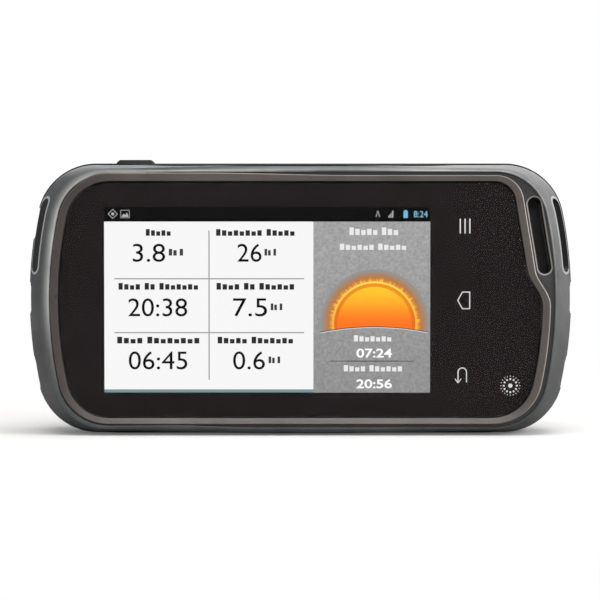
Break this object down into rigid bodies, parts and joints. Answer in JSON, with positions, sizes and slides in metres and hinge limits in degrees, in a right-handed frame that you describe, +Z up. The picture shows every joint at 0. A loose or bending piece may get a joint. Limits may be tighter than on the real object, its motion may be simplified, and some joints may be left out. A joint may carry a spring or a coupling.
{
  "type": "handheld gps unit",
  "caption": "Rugged handheld navigation unit with a wide touch screen, rubber bumper band, side keys, weather caps, lanyard slot and a lift-off battery cover with a mount spine.",
  "frame": {"origin": "centre of the bottom of the box, under the unit as it stands on its long side", "axes": "+X along the unit to the end with the lanyard slot, -Y out of the screen, +Z up"},
  "size_m": [0.15, 0.0362, 0.0753],
  "materials": {
    "bumper": "satin metallic grey paint over moulded plastic",
    "side_grip": "matt moulded rubber",
    "case_plastic": "fine grain",
    "rear_plastic": "spark-eroded grain",
    "bezel": "satin gunmetal paint",
    "cover_glass": "polished, printed black behind the border",
    "adhesive": "foam tape",
    "display": "lit liquid crystal panel",
    "sheet_steel": "stamped, bright",
    "flex": "polyimide film",
    "board": "solder mask",
    "black_part": "moulded",
    "screw_steel": "blackened steel",
    "patch_ceramic": "fired ceramic",
    "seal_rubber": "silicone",
    "key": "matt black",
    "window_glass": "polished",
    "cap_rubber": "matt soft rubber",
    "battery_sleeve": "shrunk film sleeve",
    "cover_plastic": "spark-eroded grain",
    "latch_steel": "satin stainless"
  },
  "bodies": {
    "case": {"bumper": "bumper", "side_grip": "side_grip", "front_case": "case_plastic", "bezel_ring": "bezel", "cover_glass": "cover_glass", "glass_adhesive": "adhesive", "display_panel": "display", "display_backplate": "sheet_steel", "display_cable": "flex", "touch_key_board": "board", "light_sensor": "black_part", "main_board": "board", "board_screws": "screw_steel", "processor_shield": "sheet_steel", "radio_shield": "sheet_steel", "gps_antenna": "patch_ceramic", "vibration_motor": "sheet_steel", "microphone": "sheet_steel", "battery_contacts": "black_part", "card_holder": "sheet_steel", "memory_card": "black_part", "housing_seal": "seal_rubber", "rear_housing": "rear_plastic", "case_screws": "screw_steel", "power_key_seal": "seal_rubber", "power_key_board": "board", "volume_key_seals": "seal_rubber", "volume_key_board": "board", "camera_module": "black_part", "camera_window": "window_glass", "camera_cable": "flex", "flash_led": "black_part", "flash_window": "window_glass", "speaker": "black_part", "speaker_mesh": "black_part", "port_board": "board", "port_cable": "flex", "usb_port": "sheet_steel", "video_port": "sheet_steel", "headphone_jack": "black_part", "battery_pack": "battery_sleeve"},
    "power_key": {"power_key": "key"},
    "volume_up_key": {"volume_up_key": "key"},
    "volume_down_key": {"volume_down_key": "key"},
    "port_cap": {"port_cap": "cap_rubber"},
    "audio_cap": {"audio_cap": "cap_rubber"},
    "battery_cover": {"battery_cover": "cover_plastic", "cover_seal": "seal_rubber"},
    "latch": {"latch_spindle": "latch_steel", "latch_cam": "latch_steel"},
    "lifting_ring": {"lifting_ring": "latch_steel"}
  },
  "joints": [
    {"name": "power_key_press", "type": "slide", "parent": "case", "child": "power_key", "axis": [0, 0, -1], "range_m": [0, 0.0005], "stiffness_N_per_m": 1500},
    {"name": "volume_up_press", "type": "slide", "parent": "case", "child": "volume_up_key", "axis": [0, 0, 1], "range_m": [0, 0.0005], "stiffness_N_per_m": 1500},
    {"name": "volume_down_press", "type": "slide", "parent": "case", "child": "volume_down_key", "axis": [0, 0, 1], "range_m": [0, 0.0005], "stiffness_N_per_m": 1500},
    {"name": "port_cap_hinge", "type": "hinge", "parent": "case", "child": "port_cap", "pos_m": [0.0694, 0.00965, 0.03365], "axis": [0, 0, 1], "range_deg": [0, 90]},
    {"name": "audio_cap_hinge", "type": "hinge", "parent": "case", "child": "audio_cap", "pos_m": [0.0694, 0.00965, 0.05065], "axis": [0, 0, 1], "range_deg": [0, 90]},
    {"name": "cover_lift", "type": "slide", "parent": "case", "child": "battery_cover", "axis": [0, 1, 0], "range_m": [0, 0.02]},
    {"name": "latch_turn", "type": "hinge", "parent": "battery_cover", "child": "latch", "pos_m": [0.04405, 0.01405, 0.03715], "axis": [0, 1, 0], "range_deg": [0, 90]},
    {"name": "ring_fold", "type": "hinge", "parent": "latch", "child": "lifting_ring", "pos_m": [0.04405, 0.0164, 0.03715], "axis": [0, 0, 1], "range_deg": [0, 90]}
  ]
}
